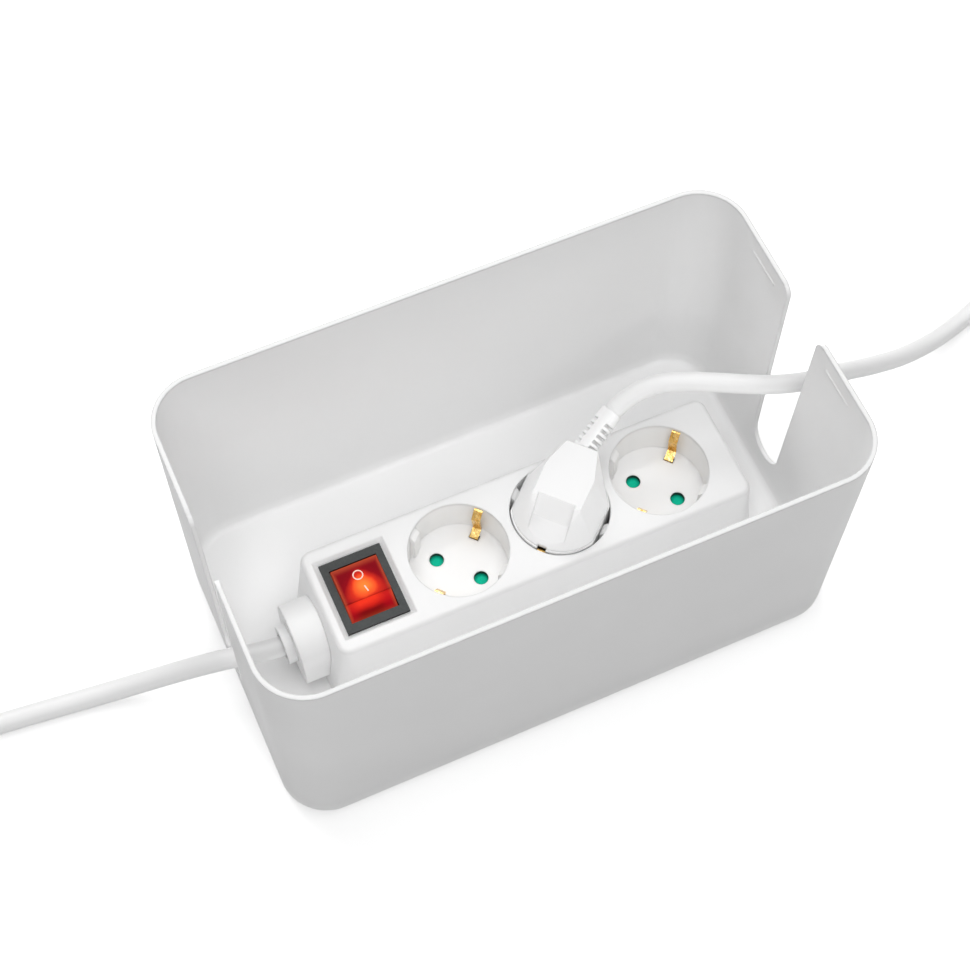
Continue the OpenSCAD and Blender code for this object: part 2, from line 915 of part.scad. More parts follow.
module neon_lamp() {
    color("orange")
        at_switch()
            translate([0, 0, pivot_z]) {
                rod_x(-5, 5, lamp_d);
                for (x = [-4, 4])
                    translate([x, 0, -4])
                        cylinder(h = 4, d = 0.6);
            }
}

// ---- gland and cord clamp ----

// Places a piece that is drawn about the lead's axis where it enters the strip.
module at_gland() {
    on_floor()
        translate([0, 0, gland_z])
            children();
}

// An arch with a round top and beveled lower corners, about the lead's axis.
module collar_outline() {
    half = collar_w / 2;
    translate([0, collar_top - half])
        circle(half);
    polygon([
        [-half, collar_top - half],
        [-half, collar_bevel - collar_low],
        [collar_bevel - half, -collar_low],
        [half - collar_bevel, -collar_low],
        [half, collar_bevel - collar_low],
        [half, collar_top - half]]);
}

module gland_collar() {
    root = base_l / 2 - strip_draft;
    color("white")
        difference() {
            at_gland()
                translate([-gland_face, 0, 0])
                    rotate([90, 0, 90])
                        linear_extrude(gland_face - root)
                            collar_outline();
            on_floor()
                strip_outer();
            at_gland()
                rod_x(-gland_face - over, 0, 12 + 2 * part_gap);
        }
}

module gland_ring() {
    color("white")
        at_gland()
            difference() {
                union() {
                    rod_x(-gland_face - ring_stand, -gland_face, ring_d);
                    rod_x(-gland_face - over, -end_in + over, 12);
                }
                rod_x(-gland_face - ring_stand - over, 0, mains_d + 2 * press_gap);
                rod_x(-gland_face - ring_stand - over, -gland_face - ring_stand + 2, ring_d - 4.6);
            }
}

module cord_clamp() {
    color("lightgray")
        on_floor()
            translate([clamp_x, 0, 0])
                difference() {
                    slab(clamp_l, 2 * clamp_y + 6, gland_z, clamp_top);
                    translate([0, 0, gland_z])
                        rod_x(-clamp_l, clamp_l, mains_d + 2 * press_gap);
                    for (y = [-1, 1])
                        translate([0, y * clamp_y, gland_z - over])
                            cylinder(h = clamp_top - gland_z + 2 * over, d = 2.8);
                }
}

module clamp_screws() {
    color("silver")
        on_floor()
            for (y = [-1, 1])
                translate([clamp_x, y * clamp_y, clamp_top])
                    mirror([0, 0, 1])
                        screw_up(2.4, clamp_top - gland_z + 6, clamp_head_d, clamp_head_t);
}

module core_wires() {
    in_x = mains_route[0][0] + part_gap;
    blade_x = strip_x - switch_back;
    low = floor_top + bezel_low - switch_depth - 4.5;
    rail_x = strip_x + rail_start;
    rail_top = floor_top + rail_z + sheet_t + core_d / 2 + part_gap / 2;
    earth_top = floor_top + earth_z + sheet_t + core_d / 2 + part_gap / 2;
    near = core_d / 2 + sheet_t / 2;
    body_at = blade_x - body_x / 2 - core_d / 2 - 2 * move_gap;
    for (side = [-1, 1])
        color(side < 0 ? "royalblue" : "saddlebrown") {
            core_y = strip_y + side * 2.2;
            blade_at = strip_y + side * blade_y[2];
            out_y = side < 0 ? blade_at : strip_y;
            rail_y = strip_y + side * pin_dy;
            cord([
                [in_x, core_y, mains_axis - 1],
                [in_x + 0.6, core_y, mains_axis - 1],
                [body_at, strip_y + side * 3, mains_axis - 2.4],
                [body_at + 2.6, strip_y + side * 5, low + 1.4],
                [blade_x - 5, blade_at, low],
                [blade_x - near, blade_at, low]], core_d, 8);
            cord([
                [blade_x + near, out_y, low],
                [blade_x + 4, out_y, low],
                [rail_x - 3, (out_y + rail_y) / 2, rail_top + 6],
                [rail_x + 1.5, rail_y, rail_top],
                [rail_x + 5, rail_y, rail_top]], core_d, 8);
        }
    color("yellowgreen")
        cord([
            [in_x, strip_y, mains_axis - 2.8],
            [in_x + 1.5, strip_y, mains_axis - 2.8],
            [in_x + 5, strip_y, low - 2.5],
            [blade_x - 3, strip_y, low - 5.5],
            [rail_x, strip_y, earth_top + 0.8],
            [rail_x + 4, strip_y, earth_top],
            [rail_x + 9, strip_y, earth_top]], core_d, 8);
}

// ---- mains lead ----

module mains_cord() {
    color("whitesmoke") {
        cord(mains_route, mains_d);
        cord(mains_tail, mains_d);
    }
}

module mains_coil() {
    color("whitesmoke")
        coil(mains_coil_at, mains_turn_r, mains_d);
}

// Places a piece on the mains plug's axis, with +Z toward the pins.
module at_mains_plug() {
    translate(mains_tail[len(mains_tail) - 1])
        rotate([0, -90, 0])
            children();
}

// A round plug's pins, which stand out of a face at z = 0 on thinner roots.
module pin_pair() {
    straight = pin_l - pin_tip - pin_neck;
    for (side = [-1, 1])
        translate([0, side * pin_r, 0]) {
            translate([0, 0, -pin_root])
                cylinder(h = pin_root + pin_neck, d = pin_root_d);
            translate([0, 0, pin_neck])
                cylinder(h = straight, d = pin_d);
            translate([0, 0, pin_l - pin_tip])
                cylinder(h = pin_tip, d1 = pin_d, d2 = pin_d - 1.5 * pin_tip);
        }
}

// Holes for those roots, into a face at z = 0.
module pin_sockets() {
    for (side = [-1, 1])
        translate([0, side * pin_r, -pin_root])
            cylinder(h = pin_root + over, d = pin_root_d + 2 * press_gap);
}

module mains_plug_relief() {
    color("whitesmoke")
        at_mains_plug()
            difference() {
                cylinder(h = end_relief_l, d1 = mains_d + 0.8, d2 = 13);
                for (k = [0:5], side = [-1, 1])
                    translate([side * 8, 0, 5 + 4 * k])
                        cube([10, 20, 1.4], center = true);
            }
}

module mains_plug_body() {
    top = end_plug_l;
    color("whitesmoke")
        at_mains_plug()
            translate([0, 0, end_relief_l])
                difference() {
                    rotate_extrude()
                        polygon([
                            [0, 0],
                            [8, 0],
                            [9.5, 1.5],
                            [10.5, 10],
                            [13, 20],
                            [end_plug_d / 2 - 1.5, 25],
                            [end_plug_d / 2, 26.5],
                            [end_plug_d / 2, top - 1],
                            [end_plug_d / 2 - 1, top],
                            [0, top]]);
                    translate([0, 0, top])
                        pin_sockets();
                    for (side = [-1, 1])
                        translate([side * (groove_r + 10), 0, 0])
                            slab(20, groove_w, 27.5, top + over);
                }
}

module mains_plug_pins() {
    color("silver")
        at_mains_plug()
            translate([0, 0, end_relief_l + end_plug_l])
                pin_pair();
}

module mains_plug_earth() {
    color("silver")
        at_mains_plug()
            for (side = [-1, 1])
                translate([side * (groove_r + sheet_t / 2), 0, 0])
                    slab(sheet_t, groove_w - 2 * part_gap, end_relief_l + 28.5,
                        end_relief_l + end_plug_l - 1);
}

// ---- plug in the middle socket ----

// Places a piece at the plug: +X toward its lead, +Y toward the left pin.
module at_plug() {
    on_floor()
        at_socket(1)
            children();
}

module plug_base_outline(d, flats) {
    intersection() {
        circle(d = d, $fn = 64);
        square([2 * d, flats], center = true);
    }
}

module plug_shell() {
    hull() {
        translate([0, 0, plug_rim])
            linear_extrude(0.4)
                plug_base_outline(plug_d - 1.6, plug_flats - 1);
        translate([0, 0, plug_roof - 0.6])
            linear_extrude(0.6)
                polygon([[-6, -9.9], [-6, 9.9], [8, 10.2], [nose_x, 6.5], [nose_x, -6.5], [8, -10.2]]);
    }
    hull() {
        translate([8, -8.5, plug_roof - nose_h - 2])
            cube([1, 17, nose_h + 2]);
        translate([nose_x - 1, -6.5, plug_roof - nose_h])
            cube([1, 13, nose_h]);
    }
}

module plug_body() {
    color("white")
        at_plug()
            difference() {
                union() {
                    translate([0, 0, plug_face])
                        linear_extrude(plug_rim - plug_face)
                            plug_base_outline(plug_d, plug_flats);
                    plug_shell();
                }
                for (side = [0, 1])
                    mirror([side, 0, 0])
                        rotate([90, 0, 0])
                            linear_extrude(groove_w, center = true)
                                polygon([
                                    [clip_exit - 0.5, plug_face - over],
                                    [clip_exit - 0.5, plug_face + 1.2],
                                    [groove_r, plug_face + 2.6],
                                    [groove_r, strip_h - 0.2],
                                    [plug_d, strip_h - 0.2],
                                    [plug_d, plug_face - over]]);
                translate([0, 0, plug_face])
                    mirror([0, 0, 1])
                        pin_sockets();
                for (side = [-1, 1])
                    translate([side * plug_d / 2, 0, 0])
                        slab(2 * notch_depth, notch_w, strip_h - over, plug_rim + over);
                // finger hollow in the sloped front, which runs out toward the rim
                rotate([90, 0, 0])
                    linear_extrude(hollow_w, center = true)
                        polygon([
                            [-4.4, plug_roof + over],
                            [-4.4, plug_roof],
                            [-9.5, plug_roof - 9],
                            [-17.3, plug_rim + 2.2],
                            [-plug_d, plug_rim + 2.2],
                            [-plug_d, plug_roof + over]]);
            }
}

module plug_pins() {
    color("silver")
        at_plug()
            translate([0, 0, plug_face])
                mirror([0, 0, 1])
                    pin_pair();
}

module plug_earth() {
    color("silver")
        at_plug()
            for (side = [-1, 1])
                translate([side * (groove_r + sheet_t / 2), 0, 0])
                    slab(sheet_t, groove_w - 2 * part_gap, plug_face + 2.8, strip_h - 0.6);
}

module plug_relief() {
    run = relief_tip - relief_root;
    long = norm(run);
    color("white")
        at_plug()
            difference() {
                translate(relief_root)
                    rotate([0, acos(run[2] / long), atan2(run[1], run[0])])
                        difference() {
                            cylinder(h = long, d1 = relief_d, d2 = relief_tip_d);
                            for (k = [0:4], side = [-1, 1])
                                translate([0, side * 6, 6.2 + 2.6 * k])
                                    cube([20, 8, 1.3], center = true);
                        }
                translate([nose_x - plug_d, -plug_d / 2, plug_roof - plug_d])
                    cube([plug_d, plug_d, 2 * plug_d]);
            }
}

// The lead from the plug to the highest point of its arch.
module plug_cord() {
    color("white")
        cord(lead_route, lead_d);
}

// The lead from there to its coil, and from the coil to the connector.
module run_cord() {
    color("white") {
        cord(lead_run, lead_d);
        cord(lead_tail, lead_d);
    }
}

module plug_coil() {
    color("white")
        coil(lead_coil_at, lead_turn_r, lead_d);
}

// Places a piece on the connector's axis, with +Z toward its mouth.
module at_connector() {
    translate(lead_tail[len(lead_tail) - 1])
        rotate([90, 0, 90])
            children();
}

module connector_relief() {
    color("white")
        at_connector()
            difference() {
                cylinder(h = conn_relief_l, d1 = lead_d + 0.8, d2 = 12.4);
                for (k = [0:4], side = [-1, 1])
                    translate([side * 8, 0, 5 + 4 * k])
                        cube([10.5, 20, 1.4], center = true);
            }
}

module connector_outline() {
    polygon([[-conn_w / 2, -conn_h / 2], [conn_w / 2, -conn_h / 2], [conn_w / 2, conn_h / 2 - 4.5],
        [conn_w / 2 - 4.5, conn_h / 2], [-conn_w / 2 + 4.5, conn_h / 2], [-conn_w / 2, conn_h / 2 - 4.5]]);
}

module connector_body() {
    color("white")
        at_connector()
            translate([0, 0, conn_relief_l])
                difference() {
                    linear_extrude(conn_l)
                        connector_outline();
                    for (x = [-7, 0, 7])
                        translate([x, x == 0 ? 2 : -2, 0])
                            slab(2.8, 4.8, conn_l - contact_l - contact_sink, conn_l + over);
                }
}

module connector_contacts() {
    color("goldenrod")
        at_connector()
            for (x = [-7, 0, 7])
                translate([x, x == 0 ? 2 : -2, conn_relief_l + conn_l - contact_sink])
                    slab(2.6, 4.6, -contact_l, 0);
}

tray();
tray_feet();
strip_housing();
strip_base();
base_screws();
live_rail();
neutral_rail();
earth_rail();
shutter_1();
shutter_2();
shutter_3();
shutter_springs();
shutter_caps();
switch_frame();
switch_terminals();
rocker();
neon_lamp();
gland_collar();
gland_ring();
cord_clamp();
clamp_screws();
core_wires();
mains_cord();
mains_coil();
mains_plug_body();
mains_plug_pins();
mains_plug_earth();
mains_plug_relief();
plug_body();
plug_pins();
plug_earth();
plug_relief();
plug_cord();
run_cord();
plug_coil();
connector_body();
connector_contacts();
connector_relief();
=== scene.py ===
# Looks for the cable management box: camera, leads, switch marks, materials, floor and lamps.
import json
import math

import bmesh
import bpy
import numpy as np
from mathutils import Matrix, Vector


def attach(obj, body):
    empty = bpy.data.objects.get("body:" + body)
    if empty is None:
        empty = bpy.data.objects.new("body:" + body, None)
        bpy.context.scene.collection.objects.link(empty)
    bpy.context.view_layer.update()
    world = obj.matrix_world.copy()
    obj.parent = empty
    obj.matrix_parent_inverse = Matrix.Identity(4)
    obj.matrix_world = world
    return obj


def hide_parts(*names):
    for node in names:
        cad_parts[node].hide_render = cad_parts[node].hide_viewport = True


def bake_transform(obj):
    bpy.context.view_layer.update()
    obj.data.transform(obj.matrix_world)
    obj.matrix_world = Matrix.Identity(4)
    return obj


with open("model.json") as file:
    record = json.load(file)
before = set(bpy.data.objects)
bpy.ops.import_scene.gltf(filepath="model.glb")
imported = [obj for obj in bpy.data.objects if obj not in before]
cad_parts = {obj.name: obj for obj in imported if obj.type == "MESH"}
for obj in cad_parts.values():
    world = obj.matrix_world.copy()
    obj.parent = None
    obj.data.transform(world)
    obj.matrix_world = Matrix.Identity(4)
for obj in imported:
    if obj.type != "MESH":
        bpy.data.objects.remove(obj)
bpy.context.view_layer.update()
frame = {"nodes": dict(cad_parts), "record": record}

MM = 0.001
UP = np.array([0.0, 0.0, 1.0])
NODES = frame["nodes"]
scene = bpy.context.scene


# ---- camera ----

CAMERA_AT = (-0.148682, -0.294944, 0.722868)
CAMERA_RIGHT = (0.91319974, -0.40741002, 0.00912705)
CAMERA_UP = (0.35880453, 0.8144665, 0.4559645)
CAMERA_BACK = (-0.19319818, -0.41311184, 0.88995116)
CAMERA_LENS = 72.634
CAMERA_SENSOR = 36.0


def make_camera():
    data = bpy.data.cameras.new("camera")
    data.sensor_width = CAMERA_SENSOR
    data.lens = CAMERA_LENS
    data.clip_start = 0.01
    data.clip_end = 20.0
    cam = bpy.data.objects.new("camera", data)
    turn = Matrix((CAMERA_RIGHT, CAMERA_UP, CAMERA_BACK)).transposed().to_4x4()
    cam.matrix_world = Matrix.Translation(CAMERA_AT) @ turn
    scene.collection.objects.link(cam)
    scene.camera = cam


make_camera()


# ---- meshes ----

def mesh_object(name, points, faces, smooth=True):
    """A mesh of points in metres, with its faces turned outwards."""
    mesh = bpy.data.meshes.new(name)
    mesh.from_pydata([tuple(p) for p in points], [], faces)
    solid = bmesh.new()
    solid.from_mesh(mesh)
    bmesh.ops.recalc_face_normals(solid, faces=solid.faces)
    solid.to_mesh(mesh)
    solid.free()
    if smooth:
        mesh.shade_smooth()
    obj = bpy.data.objects.new(name, mesh)
    scene.collection.objects.link(obj)
    return obj


def skin(name, rings, closed=False, smooth=True):
    """Quads between rings of points. Each end gets a face, unless the last ring meets the first."""
    sides = len(rings[0])
    count = len(rings)
    faces = []
    for i in range(count if closed else count - 1):
        j = (i + 1) % count
        for k in range(sides):
            m = (k + 1) % sides
            faces.append((i * sides + k, i * sides + m, j * sides + m, j * sides + k))
    if not closed:
        faces.append(tuple(range(sides - 1, -1, -1)))
        faces.append(tuple((count - 1) * sides + k for k in range(sides)))
    return mesh_object(name, np.vstack(rings), faces, smooth)


def sweep(name, frames, section, closed=False, smooth=True):
    """A section of (across, up) steps carried through frames of (origin, across, up), in millimetres."""
    rings = []
    for origin, across, up in frames:
        rings.append([(origin + a * across + u * up) * MM for a, u in section])
    return skin(name, rings, closed, smooth)


def tube(name, line, radius, sides=20):
    """A round tube along a line, in metres, whose rings don't twist."""
    ahead = np.gradient(line, axis=0)
    ahead /= np.linalg.norm(ahead, axis=1)[:, None]
    angle = np.linspace(0, 2 * math.pi, sides, endpoint=False)[:, None]
    side = np.cross(ahead[0], UP)
    side /= np.linalg.norm(side)
    rings = []
    for point, along in zip(line, ahead):
        side = side - along * (side @ along)
        side /= np.linalg.norm(side)
        rings.append(point + radius * (np.cos(angle) * side + np.sin(angle) * np.cross(along, side)))
    return skin(name, rings)


def catmull(points, step):
    """A smooth line through the points, about step apart."""
    p = np.asarray(points, float)
    p = np.vstack([2 * p[0] - p[1], p, 2 * p[-1] - p[-2]])
    out = []
    for i in range(1, len(p) - 2):
        q = p[i - 1:i + 3]
        t = np.r_[0, np.cumsum(np.sqrt(np.linalg.norm(np.diff(q, axis=0), axis=1)))]
        count = max(2, int(np.ceil(np.linalg.norm(q[2] - q[1]) / step)))
        for u in np.linspace(t[1], t[2], count, endpoint=False):
            a = [((t[k + 1] - u) * q[k] + (u - t[k]) * q[k + 1]) / (t[k + 1] - t[k]) for k in range(3)]
            b = [((t[k + 2] - u) * a[k] + (u - t[k]) * a[k + 1]) / (t[k + 2] - t[k]) for k in range(2)]
            out.append(((t[2] - u) * b[0] + (u - t[1]) * b[1]) / (t[2] - t[1]))
    out.append(p[-2])
    return np.array(out)


def even(points, step, passes=3):
    """The same line with points at equal distances, then smoothed in a few light passes."""
    s = np.r_[0, np.cumsum(np.linalg.norm(np.diff(points, axis=0), axis=1))]
    t = np.linspace(0, s[-1], int(round(s[-1] / step)) + 1)
    line = np.stack([np.interp(t, s, points[:, k]) for k in range(3)], -1)
    for _ in range(passes):
        line[1:-1] = 0.25 * line[:-2] + 0.5 * line[1:-1] + 0.25 * line[2:]
    return line


# ---- free leads ----
# The routes repeat the points of part.scad. Lengths are in millimetres.

STRIP_Y = -1.7
ROUTE_STEP = 2.0
TUBE_STEP = 2.5

LAYER_GAP = 0.1             # between the floor and the lowest turn
COIL_STEP = 12              # degrees between a coil's points
COIL_RISE = 120.0           # degrees in which a coil climbs to its second layer
COIL_EASE = 40.0            # degrees that round the change from closing in to widening

STRAP_HALF = 6.0
STRAP_SECTION = [(-1, 0.12), (-0.94, 0.0), (0.94, 0.0), (1, 0.12),
                 (1, 0.78), (0.94, 0.9), (-0.94, 0.9), (-1, 0.78)]
STRAP_STEPS = 88
STRAP_TURNS = 1.28          # more than one turn, because the strap laps over itself
STRAP_START = -0.5          # radians from pointing outwards
STRAP_GAP = 0.12            # between the strap and the turns
LAP_LIFT = 1.05             # how much further out the lap lies
LAP_START, LAP_RUN = 0.90, 0.12
FLAT_BELOW = 0.1            # below this the strap is pressed flat under the coil,
FLAT_DEPTH = 1.0            # from at most this far under the floor
FLAT_FROM = 0.02            # to just above it,
FLAT_SHARE = 0.075          # at this share of its height


class Coil:
    """A flat coil of two layers that starts and ends at its north side."""

    def __init__(self, north, inner, pitch, turns, d, sign):
        self.d = d
        self.sign = sign
        angle = np.arange(0, 360 * turns + 1, COIL_STEP)
        x = angle - 180 * turns
        r = inner + pitch / 360 * (np.sqrt(x * x + COIL_EASE * COIL_EASE) - COIL_EASE)
        climb = np.clip(x / COIL_RISE + 0.5, 0, 1)
        z = LAYER_GAP + d / 2 + d * climb * climb * (3 - 2 * climb)
        a = np.radians(90 + sign * angle)
        self.middle = np.array([north[0], north[1] - r[0]])
        flat = self.middle + r[:, None] * np.stack([np.cos(a), np.sin(a)], -1)
        self.line = np.column_stack([flat, z])

    def strap(self, name, side):
        """A hook-and-loop strap round all the turns, side degrees on from the north."""
        turn = math.radians(90 + self.sign * side)
        out = np.array([math.cos(turn), math.sin(turn), 0.0])
        along = np.array([-out[1], out[0], 0.0])
        middle = np.array([*self.middle, 0.0])
        turns = self.line[side // COIL_STEP::360 // COIL_STEP]
        spots = np.column_stack([(turns[:, :2] - self.middle) @ out[:2], turns[:, 2]])
        frames = []
        for share in np.linspace(0, STRAP_TURNS, STRAP_STEPS):
            s = 2 * math.pi * share + STRAP_START
            aim = np.array([math.cos(s), math.sin(s)])
            lift = STRAP_GAP + LAP_LIFT * min(1.0, max(0.0, (share - LAP_START) / LAP_RUN))
            r, z = spots[np.argmax(spots @ aim)] + (self.d / 2 + lift) * aim
            frames.append((middle + r * out + z * UP, STRAP_HALF * along, aim[0] * out + aim[1] * UP))
        obj = sweep(name, frames, STRAP_SECTION, smooth=False)
        for v in obj.data.vertices:
            if v.co.z < FLAT_BELOW * MM:
                v.co.z = FLAT_FROM * MM + FLAT_SHARE * (v.co.z + FLAT_DEPTH * MM)
        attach(obj, "box")
        return obj


def lead(name, before, coil, after):
    """A lead through the points before its coil, the coil itself and the points after it."""
    route = catmull(np.vstack([before, coil.line, after]), ROUTE_STEP)
    line = even(route, TUBE_STEP) * MM
    return tube(name, line, coil.d / 2 * MM), line


mains_coil = Coil((-285, 23), 36, 8.6, 4, 8.2, 1)
mains, mains_line = lead(
    "mains_lead",
    [[-75.2, STRIP_Y, 22], [-85, STRIP_Y, 22], [-97, STRIP_Y, 22], [-105, -1, 22.3], [-113, 0.6, 22.6],
     [-122, 3, 20.8], [-133, 6.4, 16.3], [-146, 10.2, 10.8], [-160, 13.5, 6.4], [-174, 15.8, 4.5],
     [-188, 17.5, 4.2], [-205, 19.3, 4.2], [-225, 20.9, 4.2], [-243, 22.3, 4.2], [-255.5, 22.9, 4.2]],
    mains_coil,
    [[-314.5, 23, 12.4], [-322, 23, 13.9], [-330, 23, 17.2], [-339, 23, 18.6]])
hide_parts("mains_cord", "mains_coil")
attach(mains, "box")
mains_strap = mains_coil.strap("mains_strap", 180)

lead_coil = Coil((276, 36.8), 34, 8.0, 4, 7.6, -1)
lead_out, lead_line = lead(
    "appliance_lead",
    [[52, 19.9, 64.5], [58, 21.2, 67.8], [64.5, 21.3, 70.5], [72.7, 19.3, 73.3], [81.4, 15, 74.9],
     [89, 11.1, 75.4], [96.7, 7.5, 74.8], [105.8, 4.1, 72.8], [117.3, 2.1, 68.7], [126.8, 2.1, 64],
     [137.8, 4.1, 57.4], [152, 7.4, 46.7], [166.9, 11.1, 34.5], [187.1, 16.2, 20], [199.9, 19.7, 13],
     [211.8, 23.1, 8.3], [225.9, 27.8, 4.9], [236, 31.3, 3.9], [244, 33.8, 3.9]],
    lead_coil,
    [[303.4, 36.8, 11.4], [311, 36.8, 9.8], [318, 36.8, 8], [325, 36.8, 7.8]])
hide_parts("plug_cord", "run_cord", "plug_coil")
lead_strap = lead_coil.strap("appliance_strap", 180)

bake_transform(lead_out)


# ---- marks on the rocker ----
# Places are in millimetres from the rocker's pivot.

PIVOT = np.array([-61.3, STRIP_Y, 41.4])
RIDGE_Y = -4.4              # where the far face meets the near one
RIDGE_UP = 4.6
FACE_SLOPE = -0.0103        # how the far face falls away from the ridge
MARK_SECTION = [(-1, -0.05), (-1, 0.03), (-0.85, 0.06), (0.85, 0.06), (1, 0.03), (1, -0.05)]
RING_AT = (-0.2, 5.45)
RING_RADIUS = 1.85
RING_HALF_LINE = 0.24
RING_STEPS = 48
BAR_START = (0.4, 0.5)
BAR_END = (1.0, -2.4)
BAR_HALF_LINE = 0.27
BAR_STEPS = 25
BAR_POWER = 6               # how far towards its round ends the bar keeps its width
BAR_TIP = 0.0001            # keeps the last ring from closing to a point


def on_face(x, y):
    return PIVOT + np.array([x, y, RIDGE_UP + FACE_SLOPE * (y - RIDGE_Y)])


def off_mark():
    middle = on_face(*RING_AT)
    frames = []
    for a in np.linspace(0, 2 * math.pi, RING_STEPS, endpoint=False):
        radial = np.array([math.cos(a), math.sin(a), FACE_SLOPE * math.sin(a)])
        frames.append((middle + RING_RADIUS * radial, RING_HALF_LINE * radial, UP))
    return sweep("off_mark", frames, MARK_SECTION, closed=True)


def on_mark():
    start = on_face(*BAR_START)
    run = on_face(*BAR_END) - start
    across = np.cross(UP, run / np.linalg.norm(run))
    frames = []
    for t in np.linspace(-1, 1, BAR_STEPS):
        far = abs(t) ** BAR_POWER
        half = BAR_HALF_LINE * math.sqrt(1 + BAR_TIP - far * far)
        frames.append((start + run * (t + 1) / 2, half * across, UP))
    return sweep("on_mark", frames, MARK_SECTION)


marks = [off_mark(), on_mark()]
for mark in marks:
    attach(mark, "rocker")


# ---- materials ----

NOISE_LOW, NOISE_HIGH = 0.3, 0.7  # nearly all of a noise lies between these


def shade(rgb, amount):
    return tuple(min(1.0, c * amount) for c in rgb)


class Shader:
    """A node material with a Principled shader and a few short helpers."""

    def __init__(self, name, specular=0.5, metallic=0.0):
        self.mat = bpy.data.materials.new(name)
        self.mat.use_nodes = True
        self.nodes = self.mat.node_tree.nodes
        self.links = self.mat.node_tree.links
        self.nodes.clear()
        out = self.nodes.new("ShaderNodeOutputMaterial")
        self.bsdf = self.nodes.new("ShaderNodeBsdfPrincipled")
        self.bsdf.inputs["Specular IOR Level"].default_value = specular
        self.bsdf.inputs["Metallic"].default_value = metallic
        self.links.new(self.bsdf.outputs[0], out.inputs["Surface"])
        self.place = self.nodes.new("ShaderNodeTexCoord").outputs["Object"]

    def node(self, kind, **props):
        n = self.nodes.new(kind)
        for key, value in props.items():
            setattr(n, key, value)
        return n

    def split(self, vector):
        """The X, Y and Z of a vector."""
        n = self.node("ShaderNodeSeparateXYZ")
        self.links.new(vector, n.inputs[0])
        return n.outputs

    def facing_up(self, kind="Normal"):
        """1 on a face that looks up, 0 on an upright one."""
        return self.split(self.node("ShaderNodeNewGeometry").outputs[kind])["Z"]

    def noise(self, scale, detail=2.0, rough=0.5, stretch=None):
        n = self.node("ShaderNodeTexNoise")
        n.inputs["Scale"].default_value = scale
        n.inputs["Detail"].default_value = detail
        n.inputs["Roughness"].default_value = rough
        source = self.place
        if stretch:
            m = self.node("ShaderNodeMapping")
            m.inputs["Scale"].default_value = stretch
            self.links.new(source, m.inputs["Vector"])
            source = m.outputs[0]
        self.links.new(source, n.inputs["Vector"])
        return n.outputs["Fac"]

    def math(self, operation, *values):
        n = self.node("ShaderNodeMath", operation=operation)
        for socket, value in zip(n.inputs, values):
            if isinstance(value, (int, float)):
                socket.default_value = value
            else:
                self.links.new(value, socket)
        return n.outputs[0]

    def away(self, value, middle):
        """How far value is from middle, either way."""
        return self.math("ABSOLUTE", self.math("SUBTRACT", value, middle))

    def fade(self, value, start, end):
        """0 at start and 1 at end, with an eased run between."""
        m = self.node("ShaderNodeMapRange", interpolation_type="SMOOTHSTEP")
        m.inputs["From Min"].default_value = start
        m.inputs["From Max"].default_value = end
        self.links.new(value, m.inputs["Value"])
        return m.outputs[0]

    def mix(self, share, first, second):
        """first where share is 0 and second where it is 1; each is a colour or a socket."""
        m = self.node("ShaderNodeMix", data_type="RGBA")
        self.links.new(share, m.inputs["Factor"])
        for socket, value in zip((m.inputs[6], m.inputs[7]), (first, second)):
            if isinstance(value, tuple):
                socket.default_value = (*value, 1)
            else:
                self.links.new(value, socket)
        return m.outputs[2]

    def stops(self, value, stops):
        """A colour ramp of (place, colour) stops."""
        r = self.node("ShaderNodeValToRGB")
        elements = r.color_ramp.elements
        while len(elements) < len(stops):
            elements.new(0.5)
        for element, (at, rgb) in zip(elements, stops):
            element.position = at
            element.color = (*rgb, 1)
        self.links.new(value, r.inputs[0])
        return r.outputs["Color"]

    def vary(self, noise, low, high):
        """A colour that follows a noise from low to high."""
        return self.stops(noise, [(NOISE_LOW, low), (NOISE_HIGH, high)])

    def cloudy(self, rgb, low=0.985, high=1.007):
        """A faintly uneven colour, as a large moulding has."""
        return self.vary(self.noise(18.0, 3.0), shade(rgb, low), shade(rgb, high))

    def colour(self, socket):
        self.links.new(socket, self.bsdf.inputs["Base Color"])

    def rough(self, noise, low, high):
        """Roughness that follows a noise from low to high."""
        m = self.node("ShaderNodeMapRange")
        m.inputs["From Min"].default_value = NOISE_LOW
        m.inputs["From Max"].default_value = NOISE_HIGH
        m.inputs["To Min"].default_value = low
        m.inputs["To Max"].default_value = high
        self.links.new(noise, m.inputs["Value"])
        self.links.new(m.outputs[0], self.bsdf.inputs["Roughness"])

    def bump(self, height, depth, soft=0.0):
        """Fine relief, with edges that read as rounded by soft metres."""
        b = self.node("ShaderNodeBump")
        b.inputs["Distance"].default_value = depth
        b.inputs["Strength"].default_value = 1.0
        self.links.new(height, b.inputs["Height"])
        if soft:
            edge = self.node("ShaderNodeBevel", samples=4)
            edge.inputs["Radius"].default_value = soft
            self.links.new(edge.outputs[0], b.inputs["Normal"])
        self.links.new(b.outputs[0], self.bsdf.inputs["Normal"])

    def moulded(self, rough, grain, depth, soft=0.0):
        """Uneven gloss about rough, and a fine moulded grain."""
        self.rough(self.noise(45.0, 4.0), rough - 0.05, rough + 0.05)
        self.bump(self.noise(grain, 3.0, 0.6), depth, soft)


def plastic(name, rgb, rough, uneven=0.015, grain=900.0, depth=4e-6, specular=0.5):
    """Plain moulded plastic, rubber, glass, paint or nylon."""
    s = Shader(name, specular)
    s.colour(s.cloudy(rgb, 1 - uneven, 1 + uneven * 0.5))
    s.moulded(rough, grain, depth)
    return s.mat


